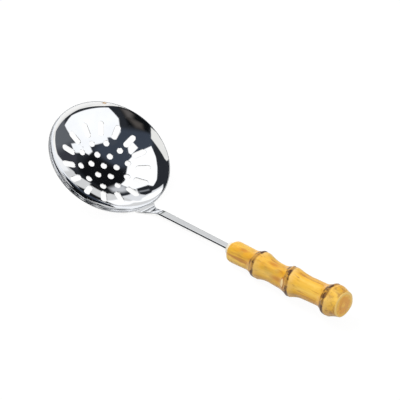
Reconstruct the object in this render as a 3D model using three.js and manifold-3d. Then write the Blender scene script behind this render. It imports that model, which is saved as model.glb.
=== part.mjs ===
// Strainer spoon with a perforated steel bowl, a flat steel shank and a bamboo-root handle.
// It lies on a table with the bowl tipped towards the handle. Millimetres, +Z up, +X towards the butt of the
// handle, with the origin under the middle of the whole spoon.
import * as THREE from "three";
import { mergeVertices } from "three/addons/utils/BufferGeometryUtils.js";
import Module from "manifold-3d";

// Bowl: a round pressing with a plain rim
const MOUTH_RADIUS = 44.3; // inner edge of the rim
const RIM_MARGIN = 0.25; // from the inner edge of the rim to where the section's curve would stand upright
const BOWL_DEPTH = 15;
const SHEET = 0.9;
const WALL_FULLNESS = 1.55; // power of the section curve: 1 is a half ellipse, more is a straighter wall
const BOWL_TILT = 36.7; // degrees, towards the handle
const RIM_EDGE_HEIGHT = 1.1; // lowest point of the rim above the table

// Perforations: centre hole, two rings of round holes and one ring of radial slots
const HOLE_DIAMETER = 4.3;
const INNER_RING_RADIUS = 9.4;
const INNER_RING_COUNT = 6;
const OUTER_RING_RADIUS = 18;
const OUTER_RING_COUNT = 10;
const SLOT_COUNT = 15;
const SLOT_WIDTH = 4.2;
const SLOT_INNER_RADIUS = 22.6;
const SLOT_OUTER_RADIUS = 33.1;
const PATTERN_TURN = -1.6; // degrees from the line of the handle

// Shank: a neck that spreads to the rim, a flat bar, and a tang inside the handle
const NECK_LENGTH = 19;
const NECK_RISE = 4.7;
const NECK_EASE = 6;
const NECK_WIDTH = 17;
const NECK_THICKNESS = 1.1;
const NECK_SPREAD = 3; // power of the flare: more keeps the bar narrow for longer
const NECK_LAP = 3.6; // how far the neck runs in under the rim before it is trimmed to it
const BAR_LENGTH = 66.2;
const BAR_WIDTH_AT_NECK = 6.6;
const BAR_WIDTH_AT_HANDLE = 5.6;
const BAR_THICKNESS = 2.6;
const BAR_SLOPE = 3.3; // degrees, rising towards the handle
const EDGE_ROUND = 1.15;
const EDGE_ROUND_LIMIT = 0.45; // share of the thickness
const TANG_LENGTH = 45;
const TANG_WIDTH = 3.6;
const TANG_THICKNESS = 2.2;
const TANG_POINT = 6;

// Handle: bamboo root with three nodes. Places are measured along the handle from its front face, and angles
// round it in degrees from +Y towards +Z.
const HANDLE_LENGTH = 90.4;
const HANDLE_LIFT = 1; // degrees between the bar and the handle's axis
const TANG_ABOVE_AXIS = 0.6; // at the mouth of the handle
const FRONT_FACE_RADIUS = 5;
const FRONT_ROUND = 3.4;
const FRONT_RADIUS = 7.3;
const FRONT_TAPER_END = 19;
const FIRST_WAIST_RADIUS = 7;
const FIRST_SCAR = 24.1;
const FIRST_NODE_RADIUS = 9;
const FIRST_SLANT = 3; // degrees
const FIRST_SLANT_SIDE = 52;
const SECOND_WAIST_RADIUS = 7.1;
const SECOND_SCAR = 49.8;
const SECOND_NODE_RADIUS = 8.9;
const SECOND_SLANT = 18;
const SECOND_SLANT_SIDE = 172;
const THIRD_WAIST_RADIUS = 7;
const THIRD_SCAR = 81;
const THIRD_NODE_RADIUS = 9.85;
const THIRD_SLANT = 1;
const THIRD_SLANT_SIDE = 52;
const BUTT_RADIUS = 7.4;
const BUTT_ROUND = 0.5;
const NODE_FRONT = 9.2; // flank of a node towards the bowl
const NODE_CROWN = 0.3; // how far past its widest place a node starts to fall
const CROWN_SKEW = 1.4; // how much later that is on one side
const NODE_CORNER = 0.8;
const NODE_BACK = 10.8; // flank of a node towards the butt
const FLANK_SKEW = 2.7; // how much longer that flank is on the same side
const NODE_SKEW_SIDE = 52;
const NODE_HOLLOW = 2; // power of that flank: more is a deeper hollow
const SCAR_LEAD = 2.4; // the ridge of the leaf scar, ahead of the node's widest place
const SCAR_HALF_WIDTH = 1.3;
const SCAR_HEIGHT = 0.4;
const OVALNESS = 0.02;
const BOW = 1; // how far the bamboo bends off its axis
const BOW_SIDE = 231;
const BOW_PLACE = 46;
const BOW_SPREAD = 16;
const BORE_DIAMETER = 7.2;
const BORE_SPARE_DEPTH = 1.2;
const FILLER_BEAD = 2.4; // how far the bead of filler stands out of the mouth of the handle
const BEAD_RADIUS = 4.5; // at the wood
const BEAD_TIP_RADIUS = 4.1;

// Gaps between neighbouring pieces
const WELD_GAP = 0.3;
const GLUE_GAP = 0.3;

// Fineness of the faceted surfaces
const BOWL_SIDES = 60;
const WALL_STEPS = 10;
const HOLE_SIDES = 14;
const SLOT_END_STEPS = 5;
const NECK_STEPS = 8;
const CORNER_STEPS = 2;
const HANDLE_SIDES = 28;
const HANDLE_STEPS = 72;
const ROUND_STEPS = 3;

const CUT_REACH = 8; // length of a punch through the sheet
const WELD_TOLERANCE = 1e-4;

const { degToRad: radians, lerp, smoothstep } = THREE.MathUtils;
const wasm = await Module();
wasm.setup();

// Solids from geometry, and back

function faceList(index) {
  const kept = [];
  for (let i = 0; i < index.length; i += 3) {
    const [a, b, c] = [index[i], index[i + 1], index[i + 2]];
    const isFace = a !== b && b !== c && c !== a;
    if (isFace) kept.push(a, b, c);
  }
  return new Uint32Array(kept);
}

function solidFrom(geometry) {
  const bare = new THREE.BufferGeometry();
  bare.setAttribute("position", geometry.getAttribute("position"));
  bare.setIndex(geometry.index);
  const merged = mergeVertices(bare, WELD_TOLERANCE);
  const mesh = new wasm.Mesh({
    numProp: 3,
    vertProperties: merged.attributes.position.array,
    triVerts: faceList(merged.index.array),
  });
  return new wasm.Manifold(mesh);
}

function geometryFrom(solid) {
  const mesh = solid.getMesh();
  const geometry = new THREE.BufferGeometry();
  geometry.setAttribute("position", new THREE.BufferAttribute(mesh.vertProperties, mesh.numProp));
  geometry.setIndex(new THREE.BufferAttribute(mesh.triVerts, 1));
  geometry.computeVertexNormals();
  return geometry;
}

function namedMesh(name, solid, material) {
  const mesh = new THREE.Mesh(geometryFrom(solid), new THREE.MeshStandardMaterial(material));
  mesh.name = name;
  return mesh;
}

// A closed solid through rings of points that run along +X, with flat ends
function loft(rings) {
  const sides = rings[0].length;
  const last = (rings.length - 1) * sides;
  const faces = [];
  for (let row = 0; row < last; row += sides) {
    for (let side = 0; side < sides; side++) {
      const next = (side + 1) % sides;
      const [a, b] = [row + side, row + next];
      faces.push(a, b, b + sides, a, b + sides, a + sides);
    }
  }
  for (let side = 1; side + 1 < sides; side++) {
    faces.push(0, side + 1, side);
    faces.push(last, last + side, last + side + 1);
  }
  return solidFrom(new THREE.BufferGeometry().setFromPoints(rings.flat()).setIndex(faces));
}

// A revolved solid about Z from a closed profile of radius and height
function revolve(profile, sides) {
  const geometry = new THREE.LatheGeometry(profile, sides);
  return solidFrom(geometry.rotateX(Math.PI / 2));
}

// Bowl

const wallReach = MOUTH_RADIUS + RIM_MARGIN;
const rimParameter = Math.asin(MOUTH_RADIUS / wallReach);
const rimLevel = Math.cos(rimParameter) ** WALL_FULLNESS;
const curveDepth = BOWL_DEPTH / (1 - rimLevel);

// Point of the bowl's section at parameter t, from 0 at the centre to the rim, moved out from the inner
// surface by an offset. Heights are measured from the inner edge of the rim.
function wallPoint(t, offset) {
  const along = wallReach * Math.cos(t);
  const up = curveDepth * WALL_FULLNESS * Math.cos(t) ** (WALL_FULLNESS - 1) * Math.sin(t);
  const length = Math.hypot(along, up);
  const radius = wallReach * Math.sin(t) + (offset * up) / length;
  const height = curveDepth * (rimLevel - Math.cos(t) ** WALL_FULLNESS) - (offset * along) / length;
  return new THREE.Vector2(radius, height);
}

const rimRadius = wallPoint(rimParameter, SHEET).x;

function wallCurve(offset) {
  const points = [];
  for (let step = 0; step <= WALL_STEPS; step++) {
    points.push(wallPoint((rimParameter * step) / WALL_STEPS, offset));
  }
  return points;
}

function bowlProfile() {
  return [...wallCurve(SHEET), ...wallCurve(0).reverse()];
}

// A punch through the wall: its frame stands on the inner surface at a given radius and turn, with X up the
// wall, Y along the ring and Z square to the sheet.
function wallFrame(radius, turn) {
  const t = Math.asin(radius / wallReach);
  const inside = wallPoint(t, 0);
  const outside = wallPoint(t, 1);
  const lean = Math.atan2(outside.x - inside.x, inside.y - outside.y);
  const frame = new THREE.Matrix4().makeRotationZ(turn);
  frame.multiply(new THREE.Matrix4().makeTranslation(inside.x, 0, inside.y));
  return frame.multiply(new THREE.Matrix4().makeRotationY(-lean));
}

function roundPunch(radius, turn) {
  const punch = new THREE.CylinderGeometry(HOLE_DIAMETER / 2, HOLE_DIAMETER / 2, CUT_REACH, HOLE_SIDES);
  punch.rotateX(Math.PI / 2);
  return solidFrom(punch.applyMatrix4(wallFrame(radius, turn)));
}

function slotPunch(turn) {
  const round = SLOT_WIDTH / 2;
  const inner = wallPoint(Math.asin((SLOT_INNER_RADIUS + round) / wallReach), 0);
  const outer = wallPoint(Math.asin((SLOT_OUTER_RADIUS - round) / wallReach), 0);
  const half = inner.distanceTo(outer) / 2;
  const outline = new THREE.Shape();
  outline.absarc(half, 0, round, -Math.PI / 2, Math.PI / 2);
  outline.absarc(-half, 0, round, Math.PI / 2, (3 * Math.PI) / 2);
  const punch = new THREE.ExtrudeGeometry(outline, {
    depth: CUT_REACH,
    bevelEnabled: false,
    curveSegments: SLOT_END_STEPS,
  });
  punch.translate(0, 0, -CUT_REACH / 2);
  return solidFrom(punch.applyMatrix4(wallFrame((inner.x + outer.x) / 2, turn)));
}

// Equal turns round the bowl. A shift of half a step puts the line of the handle between two of them.
function turnsRound(count, shift) {
  const turns = [];
  for (let i = 0; i < count; i++) turns.push(radians(PATTERN_TURN) + (2 * Math.PI * (i + shift)) / count);
  return turns;
}

function perforations() {
  return [
    roundPunch(0, 0),
    ...turnsRound(INNER_RING_COUNT, 0).map((turn) => roundPunch(INNER_RING_RADIUS, turn)),
    ...turnsRound(OUTER_RING_COUNT, 0).map((turn) => roundPunch(OUTER_RING_RADIUS, turn)),
    ...turnsRound(SLOT_COUNT, 1 / 2).map((turn) => slotPunch(turn)),
  ];
}

function perforatedBowl() {
  const pressing = revolve(bowlProfile(), BOWL_SIDES);
  return perforations().reduce((bowl, punch) => bowl.subtract(punch), pressing);
}

// Shank. Its path is the middle of its top face, from the lowest point of the rim to the tip of the tang.

const tilt = radians(BOWL_TILT);
const slope = radians(BAR_SLOPE);
const rimEdge = new THREE.Vector2(rimRadius * Math.cos(tilt), RIM_EDGE_HEIGHT);
const barStart = new THREE.Vector2(rimEdge.x + NECK_LENGTH, rimEdge.y + NECK_RISE);
const barDirection = new THREE.Vector2(Math.cos(slope), Math.sin(slope));

function neckCurve() {
  const leave = rimEdge.clone().add(new THREE.Vector2(NECK_EASE, 0));
  const arrive = barStart.clone().addScaledVector(barDirection, -NECK_EASE);
  return new THREE.CubicBezierCurve(rimEdge, leave, arrive, barStart);
}

// A flat bar's section with rounded edges, square to the path at a point on its top face
function barRing(point, direction, width, thickness) {
  const round = Math.min(EDGE_ROUND, thickness * EDGE_ROUND_LIMIT);
  const ring = [];
  for (let corner = 0; corner < 4; corner++) {
    const side = corner === 0 || corner === 3 ? 1 : -1;
    const top = corner < 2 ? 1 : -1;
    for (let step = 0; step <= CORNER_STEPS; step++) {
      const angle = (Math.PI / 2) * (corner + step / CORNER_STEPS);
      const across = side * (width / 2 - round) + round * Math.cos(angle);
      const up = top * (thickness / 2 - round) + round * Math.sin(angle) - thickness / 2;
      ring.push(new THREE.Vector3(point.x - up * direction.y, across, point.y + up * direction.x));
    }
  }
  return ring;
}

function neckRings() {
  const curve = neckCurve();
  const rings = [];
  for (let step = 0; step <= NECK_STEPS; step++) {
    const t = step / NECK_STEPS;
    const flare = (1 - t) ** NECK_SPREAD;
    const width = lerp(BAR_WIDTH_AT_NECK, NECK_WIDTH, flare);
    const thickness = lerp(NECK_THICKNESS, BAR_THICKNESS, t);
    rings.push(barRing(curve.getPoint(t), curve.getTangent(t), width, thickness));
  }
  return rings;
}

function onBar(distance, drop) {
  const point = barStart.clone().addScaledVector(barDirection, distance);
  return point.add(new THREE.Vector2(barDirection.y * drop, -barDirection.x * drop));
}

// Where the bar steps down to the tang, just short of the filler
const shoulder = BAR_LENGTH - FILLER_BEAD - GLUE_GAP;

function tangRings() {
  const drop = (BAR_THICKNESS - TANG_THICKNESS) / 2;
  const end = BAR_LENGTH + TANG_LENGTH;
  const tip = TANG_THICKNESS / 2;
  const tipDrop = (BAR_THICKNESS - tip) / 2;
  return [
    barRing(onBar(shoulder, drop), barDirection, TANG_WIDTH, TANG_THICKNESS),
    barRing(onBar(end - TANG_POINT, drop), barDirection, TANG_WIDTH, TANG_THICKNESS),
    barRing(onBar(end, tipDrop), barDirection, TANG_WIDTH / 2, tip),
  ];
}

// The room that the bowl takes at its rim, with the weld's gap round it
function rimRoom() {
  const radius = rimRadius + WELD_GAP;
  const depth = BOWL_DEPTH / 2;
  const profile = [
    new THREE.Vector2(0, -depth),
    new THREE.Vector2(radius, -depth),
    new THREE.Vector2(radius, depth),
    new THREE.Vector2(0, depth),
  ];
  const room = new THREE.LatheGeometry(profile, 2 * BOWL_SIDES).rotateX(Math.PI / 2);
  return solidFrom(room.applyMatrix4(bowlFrame()));
}

function shankSolid() {
  const neck = neckRings();
  const lap = new THREE.Vector3(-NECK_LAP, 0, 0);
  const underRim = neck[0].map((point) => point.clone().add(lap));
  const barEnd = barRing(onBar(shoulder, 0), barDirection, BAR_WIDTH_AT_HANDLE, BAR_THICKNESS);
  return loft([underRim, ...neck, barEnd, ...tangRings()]).subtract(rimRoom());
}

// Handle, in a frame with X along the bamboo from its front face

const buttEdge = HANDLE_LENGTH - BUTT_ROUND;

// A length towards an angle round the bamboo, as its parts along +Y and +Z
function toSide(length, side) {
  return new THREE.Vector2(length * Math.cos(radians(side)), length * Math.sin(radians(side)));
}

function handleNode(waist, scar, radius, slant, side) {
  return { waist, scar, radius, lean: toSide(Math.tan(radians(slant)), side) };
}

const nodes = [
  handleNode(FIRST_WAIST_RADIUS, FIRST_SCAR, FIRST_NODE_RADIUS, FIRST_SLANT, FIRST_SLANT_SIDE),
  handleNode(SECOND_WAIST_RADIUS, SECOND_SCAR, SECOND_NODE_RADIUS, SECOND_SLANT, SECOND_SLANT_SIDE),
  handleNode(THIRD_WAIST_RADIUS, THIRD_SCAR, THIRD_NODE_RADIUS, THIRD_SLANT, THIRD_SLANT_SIDE),
];

// How far a node swells, from 0 to 1: a smooth rise, then a crown and a hollow flank of given lengths
function nodeSwell(distance, crown, flank) {
  if (distance < 0) return smoothstep(distance, -NODE_FRONT, 0);
  const past = distance - crown;
  const fall = (past + Math.hypot(past, NODE_CORNER)) / 2;
  const start = (Math.hypot(crown, NODE_CORNER) - crown) / 2;
  return Math.max(1 - (fall - start) / (flank - crown), 0) ** NODE_HOLLOW;
}

// Height of the leaf scar's ridge
function scarRidge(distance) {
  return SCAR_HEIGHT * Math.exp(-((distance / SCAR_HALF_WIDTH) ** 2));
}

// Radius of the bamboo without its nodes
function waistRadius(x) {
  const front = lerp(FRONT_RADIUS, nodes[0].waist, smoothstep(x, FRONT_ROUND, FRONT_TAPER_END));
  return nodes.reduce((radius, { scar }, i) => {
    const next = i + 1 < nodes.length ? nodes[i + 1].waist : BUTT_RADIUS;
    return lerp(radius, next, smoothstep(x, scar, scar + SCAR_LEAD));
  }, front);
}

function bambooRadius(x, angle) {
  const waist = waistRadius(x);
  const skew = Math.cos(angle - radians(NODE_SKEW_SIDE));
  const crown = NODE_CROWN + CROWN_SKEW * skew;
  const flank = NODE_BACK + FLANK_SKEW * skew;
  return nodes.reduce((most, { scar, radius }) => {
    const swell = (radius - waist) * nodeSwell(x - scar - SCAR_LEAD, crown, flank);
    return Math.max(most, waist + swell + scarRidge(x - scar));
  }, waist);
}

// How much the rings slant at a place: full at each leaf scar, and square at the two cut ends
function ringSlant(x) {
  const places = [0, ...nodes.map(({ scar }) => scar), buttEdge];
  return nodes.reduce((slant, { lean }, i) => {
    const share = smoothstep(x, places[i], places[i + 1]) - smoothstep(x, places[i + 1], places[i + 2]);
    return slant.addScaledVector(lean, share);
  }, new THREE.Vector2());
}

function bowAt(x) {
  return toSide(BOW * Math.exp(-(((x - BOW_PLACE) / BOW_SPREAD) ** 2)), BOW_SIDE);
}

// One ring of the bamboo: slightly oval, slanted and off the axis as the bamboo bends
function bambooRing(x, radiusAt) {
  const slant = ringSlant(x);
  const bow = bowAt(x);
  const turn = (2 * Math.PI * x) / HANDLE_LENGTH;
  const ring = [];
  for (let side = 0; side < HANDLE_SIDES; side++) {
    const angle = (2 * Math.PI * side) / HANDLE_SIDES;
    const reach = radiusAt(angle) * (1 + OVALNESS * Math.cos(2 * angle + turn));
    const [across, up] = [reach * Math.cos(angle), reach * Math.sin(angle)];
    ring.push(new THREE.Vector3(x + slant.x * across + slant.y * up, across + bow.x, up + bow.y));
  }
  return ring;
}

function bambooRings() {
  const rings = [];
  for (let step = 0; step <= ROUND_STEPS; step++) {
    const turn = ((Math.PI / 2) * step) / ROUND_STEPS;
    const x = FRONT_ROUND * (1 - Math.cos(turn));
    const full = (angle) => bambooRadius(FRONT_ROUND, angle);
    rings.push(bambooRing(x, (angle) => lerp(FRONT_FACE_RADIUS, full(angle), Math.sin(turn))));
  }
  for (let step = 1; step <= HANDLE_STEPS; step++) {
    const x = lerp(FRONT_ROUND, buttEdge, step / HANDLE_STEPS);
    rings.push(bambooRing(x, (angle) => bambooRadius(x, angle)));
  }
  rings.push(bambooRing(HANDLE_LENGTH, (angle) => bambooRadius(buttEdge, angle) - BUTT_ROUND));
  return rings;
}

// Middle of the bar's section, at a distance past the mouth of the handle
function tangCentre(depth) {
  const point = onBar(BAR_LENGTH + depth, BAR_THICKNESS / 2);
  return new THREE.Vector3(point.x, 0, point.y);
}

function barFrame() {
  const mouth = tangCentre(0);
  const frame = new THREE.Matrix4().makeTranslation(mouth.x, mouth.y, mouth.z);
  return frame.multiply(new THREE.Matrix4().makeRotationY(-slope));
}

function handleFrame() {
  const frame = barFrame().multiply(new THREE.Matrix4().makeRotationY(-radians(HANDLE_LIFT)));
  return frame.multiply(new THREE.Matrix4().makeTranslation(0, 0, -TANG_ABOVE_AXIS));
}

// A round rod along the tang, from a start to an end measured from the mouth of the handle
function tangRod(radius, start, end, startRadius = radius) {
  const rod = new THREE.CylinderGeometry(startRadius, radius, end - start, HANDLE_SIDES);
  rod.rotateZ(Math.PI / 2).translate((start + end) / 2, 0, 0);
  return solidFrom(rod.applyMatrix4(barFrame()));
}

const BORE_DEPTH = TANG_LENGTH + BORE_SPARE_DEPTH;

function bambooHandle() {
  const blank = loft(bambooRings().map((ring) => ring.map((point) => point.applyMatrix4(handleFrame()))));
  return blank.subtract(tangRod(BORE_DIAMETER / 2, -FRONT_ROUND, BORE_DEPTH));
}

// The room of the tang, with the glue's gap round it
function tangRoom() {
  const drop = (BAR_THICKNESS - TANG_THICKNESS) / 2 - GLUE_GAP;
  const size = [TANG_WIDTH + 2 * GLUE_GAP, TANG_THICKNESS + 2 * GLUE_GAP];
  const ends = [shoulder, BAR_LENGTH + TANG_LENGTH + GLUE_GAP];
  return loft(ends.map((distance) => barRing(onBar(distance, drop), barDirection, ...size)));
}

// Filler round the tang: it fills the bore and stands out of its mouth in a bead, with a gap to the wood and
// a gap to the steel
function tangAdhesive() {
  const plug = tangRod(BORE_DIAMETER / 2 - GLUE_GAP, -FILLER_BEAD, BORE_DEPTH - GLUE_GAP);
  const bead = tangRod(BEAD_RADIUS, -FILLER_BEAD, -GLUE_GAP, BEAD_TIP_RADIUS);
  return plug.add(bead).subtract(tangRoom());
}

// Assembly

function bowlFrame() {
  const height = RIM_EDGE_HEIGHT + rimRadius * Math.sin(tilt);
  const frame = new THREE.Matrix4().makeTranslation(0, 0, height);
  return frame.multiply(new THREE.Matrix4().makeRotationY(tilt));
}

const steel = { color: 0xc9cbce, metalness: 1, roughness: 0.08 };
const bamboo = { color: 0xd9a441, metalness: 0, roughness: 0.35 };
const filler = { color: 0xefe6cf, metalness: 0, roughness: 0.6 };

const bowl = namedMesh("perforated_bowl", perforatedBowl(), steel);
bowl.applyMatrix4(bowlFrame());

const spoon = new THREE.Group();
spoon.add(bowl);
spoon.add(namedMesh("shank", shankSolid(), steel));
spoon.add(namedMesh("bamboo_handle", bambooHandle(), bamboo));
spoon.add(namedMesh("tang_adhesive", tangAdhesive(), filler));

// The origin lies on the table, under the middle of the spoon's box.
const box = new THREE.Box3().setFromObject(spoon, true);
const middle = box.getCenter(new THREE.Vector3());
spoon.position.set(-middle.x, -middle.y, -box.min.z);

const strainerSpoon = new THREE.Group();
strainerSpoon.add(spoon);

export default strainerSpoon;
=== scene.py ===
import math
from typing import NamedTuple

import bpy
import numpy as np
from mathutils import Matrix, Vector


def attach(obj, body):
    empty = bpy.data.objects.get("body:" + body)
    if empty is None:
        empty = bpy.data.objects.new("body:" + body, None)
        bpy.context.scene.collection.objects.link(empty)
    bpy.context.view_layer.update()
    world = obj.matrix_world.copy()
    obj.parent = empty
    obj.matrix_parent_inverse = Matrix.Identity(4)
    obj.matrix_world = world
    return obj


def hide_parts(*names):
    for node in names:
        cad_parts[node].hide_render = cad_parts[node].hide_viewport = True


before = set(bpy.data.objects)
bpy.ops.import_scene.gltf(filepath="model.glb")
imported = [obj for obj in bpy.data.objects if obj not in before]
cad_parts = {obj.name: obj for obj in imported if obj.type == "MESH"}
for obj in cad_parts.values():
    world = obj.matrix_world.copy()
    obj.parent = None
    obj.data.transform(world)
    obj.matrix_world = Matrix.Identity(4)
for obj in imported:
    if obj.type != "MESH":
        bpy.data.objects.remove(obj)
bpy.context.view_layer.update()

MM = 0.001

# Sizes shared with the solids, in millimetres and degrees
MOUTH_RADIUS = 44.3
RIM_MARGIN = 0.25
BOWL_DEPTH = 15.0
SHEET = 0.9
WALL_FULLNESS = 1.55
BOWL_TILT = 36.7
RIM_EDGE_HEIGHT = 1.1
HOLE_DIAMETER = 4.3
INNER_RING_RADIUS = 9.4
INNER_RING_COUNT = 6
OUTER_RING_RADIUS = 18.0
OUTER_RING_COUNT = 10
SLOT_COUNT = 15
SLOT_WIDTH = 4.2
SLOT_INNER_RADIUS = 22.6
SLOT_OUTER_RADIUS = 33.1
PATTERN_TURN = -1.6
NECK_LENGTH = 19.0
NECK_RISE = 4.7
NECK_EASE = 6.0
NECK_WIDTH = 17.0
NECK_THICKNESS = 1.1
NECK_SPREAD = 3.0
BAR_LENGTH = 66.2
BAR_WIDTH_AT_NECK = 6.6
BAR_WIDTH_AT_HANDLE = 5.6
BAR_THICKNESS = 2.6
BAR_SLOPE = 3.3
EDGE_ROUND = 1.15
EDGE_ROUND_LIMIT = 0.45
TANG_LENGTH = 45.0
TANG_WIDTH = 3.6
TANG_THICKNESS = 2.2
HANDLE_LENGTH = 90.4
HANDLE_LIFT = 1.0
TANG_ABOVE_AXIS = 0.6
FRONT_FACE_RADIUS = 5.0
FRONT_ROUND = 3.4
FRONT_RADIUS = 7.3
FRONT_TAPER_END = 19.0
BUTT_RADIUS = 7.4
BUTT_ROUND = 0.5
NODE_FRONT = 9.2
NODE_CROWN = 0.3
CROWN_SKEW = 1.4
NODE_CORNER = 0.8
NODE_BACK = 10.8
FLANK_SKEW = 2.7
NODE_SKEW_SIDE = 52.0
NODE_HOLLOW = 2.0
SCAR_LEAD = 2.4
SCAR_HALF_WIDTH = 1.3
SCAR_HEIGHT = 0.4
OVALNESS = 0.02
BOW = 1.0
BOW_SIDE = 231.0
BOW_PLACE = 46.0
BOW_SPREAD = 16.0
BORE_RADIUS = 3.6
BORE_SPARE_DEPTH = 1.2
FILLER_BEAD = 2.4
GLUE_GAP = 0.3
SPOON_SHIFT = -87.79  # along X, from under the rim's centre to the middle of the whole spoon


class BambooNode(NamedTuple):
    """The thin part ahead of a node, its leaf scar's place, its widest radius, and its slant and where to."""
    waist: float
    scar: float
    radius: float
    slant: float
    side: float


NODES = (
    BambooNode(waist=7.0, scar=24.1, radius=9.0, slant=3.0, side=52.0),
    BambooNode(waist=7.1, scar=49.8, radius=8.9, slant=18.0, side=172.0),
    BambooNode(waist=7.0, scar=81.0, radius=9.85, slant=1.0, side=52.0),
)

# Camera, in degrees and millimetres: it looks down at the rim from the handle's near side
VIEW_AZIMUTH = 47.0
VIEW_ELEVATION = 31.0
RIM_DISTANCE = 700.0
RIM_LEFT_OF_CENTRE = 62.0
RIM_ABOVE_CENTRE = 31.1
FOCAL_PIXELS = 1004.76
IMAGE_PIXELS = 400
SENSOR_MM = 36.0
NEAREST_SEEN = 50.0
FARTHEST_SEEN = 20000.0

TILT = math.radians(BOWL_TILT)
SLOPE = math.radians(BAR_SLOPE)


# Mesh helpers

def new_object(name, vertices, faces):
    """A smooth mesh object from millimetre points."""
    mesh = bpy.data.meshes.new(name)
    mesh.from_pydata((np.asarray(vertices) * MM).tolist(), [], faces)
    mesh.validate()
    mesh.shade_smooth()
    made = bpy.data.objects.new(name, mesh)
    bpy.context.scene.collection.objects.link(made)
    return made


def tube_faces(rings, sides):
    """Quads between rings of points, and a face on each end."""
    faces = []
    for ring in range(rings - 1):
        for side in range(sides):
            a = ring * sides + side
            b = ring * sides + (side + 1) % sides
            faces.append((a, b, b + sides, a + sides))
    last = (rings - 1) * sides
    faces.append(tuple(reversed(range(sides))))
    faces.append(tuple(range(last, last + sides)))
    return faces


def cut(made, cutter):
    """Takes the cutter out of the piece and deletes the cutter."""
    step = made.modifiers.new("cut", "BOOLEAN")
    step.operation = "DIFFERENCE"
    step.solver = "EXACT"
    step.object = cutter
    bpy.context.view_layer.update()
    depsgraph = bpy.context.evaluated_depsgraph_get()
    mesh = bpy.data.meshes.new_from_object(made.evaluated_get(depsgraph))
    made.modifiers.clear()
    made.data = mesh
    bpy.data.objects.remove(cutter)


def finish_piece(made, node, material):
    made.data.materials.clear()
    made.data.materials.append(material)
    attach(made, "root")
    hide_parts(node)


def spoon_matrix():
    return Matrix.Translation((SPOON_SHIFT * MM, 0, 0))


# Bowl

LATHE_SIDES = 240
WALL_POINTS = 72
EDGE_POINTS = 7
EDGE_INSET = 0.03  # keeps the rounded edge inside the rim's cut edge
HOLE_SIDES = 28
SLOT_END_POINTS = 13
SLOT_SIDE_POINTS = 6
NORMAL_SAMPLES = 24
NORMAL_BATCH = 1000
NO_RADIUS = 1e-6  # stands in for 0 on the axis
SHEET_FACING = 0.8  # a face this close to the sheet's own normal is part of a polished side

WALL_REACH = MOUTH_RADIUS + RIM_MARGIN
RIM_PARAMETER = math.asin(MOUTH_RADIUS / WALL_REACH)
RIM_LEVEL = math.cos(RIM_PARAMETER) ** WALL_FULLNESS
CURVE_DEPTH = BOWL_DEPTH / (1 - RIM_LEVEL)


def wall_point(t):
    """Radius and height of the bowl's inner section at parameter t, and the normal there."""
    along = WALL_REACH * math.cos(t)
    rise = CURVE_DEPTH * WALL_FULLNESS * math.cos(t) ** (WALL_FULLNESS - 1) * math.sin(t)
    height = CURVE_DEPTH * (RIM_LEVEL - math.cos(t) ** WALL_FULLNESS)
    point = np.array((WALL_REACH * math.sin(t), height))
    return point, np.array((-rise, along)) / math.hypot(along, rise)


def wall_parameter(radius):
    return math.asin(radius / WALL_REACH)


RIM_POINT, RIM_NORMAL = wall_point(RIM_PARAMETER)
RIM_RADIUS = (RIM_POINT - RIM_NORMAL * SHEET)[0]
RIM_HEIGHT = RIM_EDGE_HEIGHT + RIM_RADIUS * math.sin(TILT)


def inner_profile(fineness=1):
    """The food side of the bowl's section, from the centre to the rounded edge: points and normals."""
    end = wall_parameter(MOUTH_RADIUS - SHEET / 2 * RIM_NORMAL[1] - EDGE_INSET)
    steps = np.linspace(0, end, WALL_POINTS * fineness)
    points, normals = zip(*(wall_point(t) for t in steps))
    return np.array(points), np.array(normals)


def bowl_profile(fineness=1):
    """The closed section of the bowl: inside, rounded rim edge, outside."""
    points, normals = inner_profile(fineness)
    start = math.atan2(normals[-1][1], normals[-1][0])
    angles = np.linspace(start, start - math.pi, EDGE_POINTS * fineness)[1:-1]
    edge_normals = np.column_stack((np.cos(angles), np.sin(angles)))
    middle = points[-1] - normals[-1] * SHEET / 2
    edge = middle + edge_normals * SHEET / 2
    outside = (points - normals * SHEET)[::-1]
    return np.vstack((points, edge, outside)), np.vstack((normals, edge_normals, -normals[::-1]))


def lathe(profile):
    """Vertices and faces of a closed section turned about Z. The section starts and ends on the axis."""
    angles = np.linspace(0, 2 * math.pi, LATHE_SIDES, endpoint=False)
    body = profile[1:-1]
    level = np.ones(LATHE_SIDES)
    rings = [np.column_stack((r * np.cos(angles), r * np.sin(angles), z * level)) for r, z in body]
    vertices = np.vstack(rings + [(0, 0, profile[0][1]), (0, 0, profile[-1][1])])
    faces = [tuple(reversed(face)) for face in tube_faces(len(body), LATHE_SIDES)[:-2]]
    first, last = len(vertices) - 2, len(vertices) - 1
    end = (len(body) - 1) * LATHE_SIDES
    for side in range(LATHE_SIDES):
        after = (side + 1) % LATHE_SIDES
        faces.append((first, side, after))
        faces.append((last, end + after, end + side))
    return vertices, faces


# A punch at four depths in the sheet: depth below the food side, and how much wider it is there
PUNCH_LEVELS = ((-0.7, 0.85), (0.15, 0.0), (SHEET - 0.1, 0.0), (SHEET + 0.6, 0.7))


def stadium(half_length, radius):
    """Outline of a slot, or of a round hole where the half length is 0."""
    if half_length == 0:
        angles = np.linspace(0, 2 * math.pi, HOLE_SIDES, endpoint=False)
        return np.column_stack((radius * np.cos(angles), radius * np.sin(angles)))
    angles = np.linspace(-math.pi / 2, math.pi / 2, SLOT_END_POINTS)
    head = np.column_stack((half_length + radius * np.cos(angles), radius * np.sin(angles)))
    side = np.linspace(half_length, -half_length, SLOT_SIDE_POINTS + 2)[1:-1]
    top = np.column_stack((side, np.full(SLOT_SIDE_POINTS, radius)))
    return np.vstack((head, top, -head, -top))


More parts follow.
